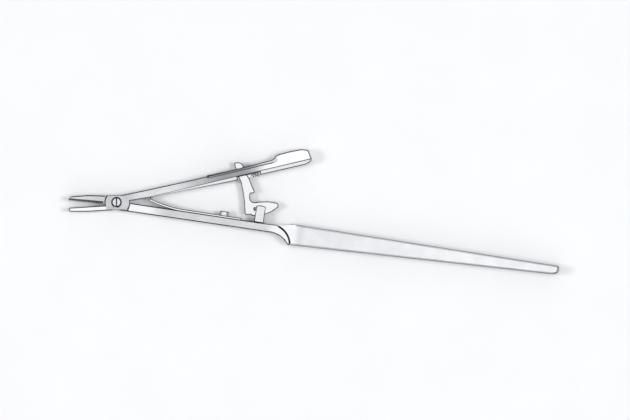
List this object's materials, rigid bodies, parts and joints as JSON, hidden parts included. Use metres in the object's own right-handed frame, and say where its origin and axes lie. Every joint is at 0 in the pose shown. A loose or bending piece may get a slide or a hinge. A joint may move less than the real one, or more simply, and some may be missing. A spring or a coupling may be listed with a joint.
{
  "type": "needle holder",
  "caption": "Steel surgical needle holder with a long tapered grip, a short thumb lever, serrated jaws, a leaf spring and a swinging latch.",
  "frame": {"origin": "centre of the joint screw's end in the flat back face that the instrument lies on", "axes": "+X from the jaws towards the grip's end, +Y towards the thumb lever, +Z along the joint screw towards its slotted head"},
  "size_m": [0.1324, 0.0337, 0.0046],
  "materials": {
    "satin_steel": "satin ground stainless steel",
    "bright_steel": "fine polished stainless steel",
    "spring_steel": "tempered spring steel"
  },
  "bodies": {
    "handle": {"handle": "satin_steel", "pivot_screw": "bright_steel", "leaf_spring": "spring_steel", "leaf_screw": "bright_steel", "keeper_cheeks": "satin_steel", "keeper_pin": "bright_steel"},
    "lever": {"lever": "satin_steel", "latch_pin": "bright_steel", "latch_spring": "spring_steel"},
    "latch": {"latch": "bright_steel"}
  },
  "joints": [
    {"name": "lever_hinge", "type": "hinge", "parent": "handle", "child": "lever", "pos_m": [0, 0, 0], "axis": [0, 0, 1], "range_deg": [-8.5, 5], "stiffness_Nm_per_rad": 0.3, "deforming": ["leaf_spring"]},
    {"name": "latch_hinge", "type": "hinge", "parent": "lever", "child": "latch", "pos_m": [0.03371, 0.00801, 0.0023], "axis": [0, 0, 1], "range_deg": [0, 7], "stiffness_Nm_per_rad": 0.002}
  ]
}
